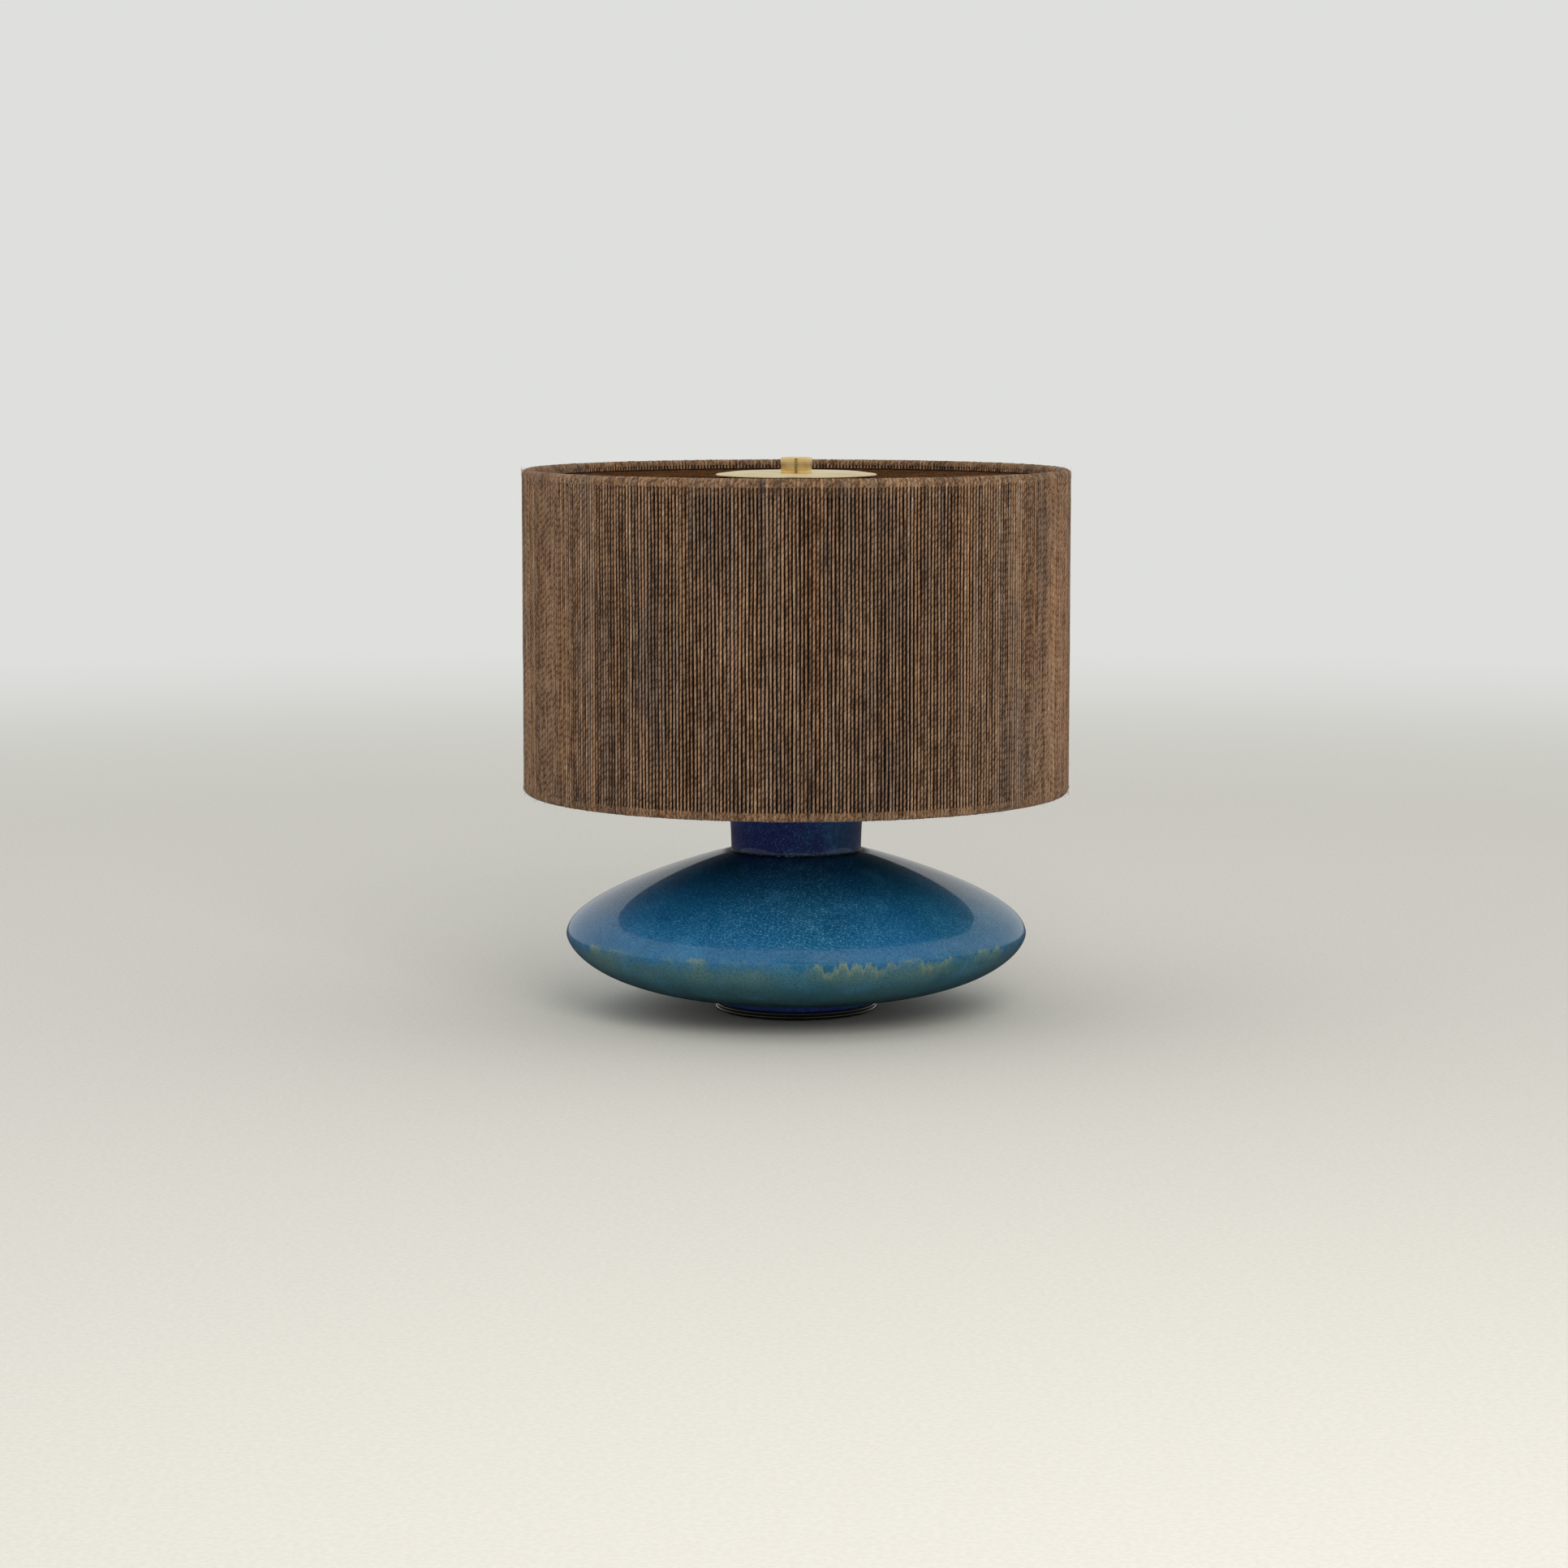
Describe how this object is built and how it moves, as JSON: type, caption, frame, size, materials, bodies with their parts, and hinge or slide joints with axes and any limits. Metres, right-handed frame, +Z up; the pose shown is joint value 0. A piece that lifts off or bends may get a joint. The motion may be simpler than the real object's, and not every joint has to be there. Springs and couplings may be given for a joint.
{
  "type": "table lamp with shade",
  "caption": "Table lamp with a saucer-shaped glazed ceramic body on a round foot disc, under a drum shade of upright twine held by a harp, a spider, a brass disc and a finial.",
  "frame": {"origin": "on the table, under the lamp's axis", "axes": "+Z up along the lamp's axis; the switch key points to -Y, the cord inlet to +Y, and the harp lies in the XZ plane"},
  "size_m": [0.508, 0.508, 0.5163],
  "materials": {
    "glaze": "glossy reactive glaze: cobalt neck, teal and periwinkle shoulder, olive and teal runs below the widest edge",
    "black_lacquer": "gloss black lacquer on wood",
    "felt": "dark green-black felt",
    "rubber": "matte black",
    "steel": "zinc plated",
    "brass": "satin, lightly brushed",
    "finial_brass": "turned and brushed",
    "pale_brass": "pale satin gold",
    "twine": "natural jute twine in mixed browns, hairy",
    "frame_paint": "dark brown coated wire",
    "frosted_glass": "frosted inside",
    "phenolic": "dark brown moulded",
    "liner_card": "pressed fibre",
    "porcelain": "white unglazed porcelain",
    "aluminium": "bright rolled"
  },
  "bodies": {
    "base": {"felt_pad": "felt", "foot_disc": "black_lacquer", "bottom_washer": "steel", "lock_washer": "steel", "bottom_nut": "steel", "cord_bushing": "rubber", "ceramic_body": "glaze", "lamp_pipe": "steel", "neck_cushion": "rubber", "vase_cap": "brass", "cap_nut": "brass", "harp_saddle": "brass", "harp": "brass", "harp_stud": "brass", "socket_cap": "brass", "set_screw": "steel", "socket_shell": "brass", "socket_liner": "liner_card", "socket_core": "porcelain", "centre_contact": "brass", "screw_shell": "aluminium"},
    "shade": {"top_ring": "frame_paint", "bottom_ring": "frame_paint", "spider": "frame_paint", "shade_rib_1": "frame_paint", "shade_rib_2": "frame_paint", "shade_rib_3": "frame_paint", "shade_rib_4": "frame_paint", "shade_rib_5": "frame_paint", "shade_rib_6": "frame_paint", "outer_twine": "twine", "inner_twine": "twine", "top_panel": "twine", "disc_spacer": "brass", "brass_disc": "pale_brass"},
    "finial": {"finial": "finial_brass"},
    "switch_key": {"key_shaft": "brass", "switch_key": "phenolic"},
    "bulb": {"bulb_tip": "aluminium", "bulb_insulator": "phenolic", "bulb_cap": "aluminium", "bulb_glass": "frosted_glass"},
    "ferrule_left": {"harp_ferrule_left": "brass"},
    "ferrule_right": {"harp_ferrule_right": "brass"}
  },
  "joints": [
    {"name": "shade_swivel", "type": "hinge", "parent": "base", "child": "shade", "pos_m": [0, 0, 0.4911], "axis": [0, 0, 1], "continuous": true},
    {"name": "finial_turn", "type": "hinge", "parent": "base", "child": "finial", "pos_m": [0, 0, 0.5013], "axis": [0, 0, 1], "continuous": true},
    {"name": "switch_key_turn", "type": "hinge", "parent": "base", "child": "switch_key", "pos_m": [0, -0.02, 0.2947], "axis": [0, -1, 0], "continuous": true},
    {"name": "bulb_turn", "type": "hinge", "parent": "base", "child": "bulb", "pos_m": [0, 0, 0.3056], "axis": [0, 0, 1], "continuous": true},
    {"name": "ferrule_left_lift", "type": "slide", "parent": "base", "child": "ferrule_left", "axis": [0, 0, 1], "range_m": [0, 0.02]},
    {"name": "ferrule_right_lift", "type": "slide", "parent": "base", "child": "ferrule_right", "axis": [0, 0, 1], "range_m": [0, 0.02]}
  ]
}
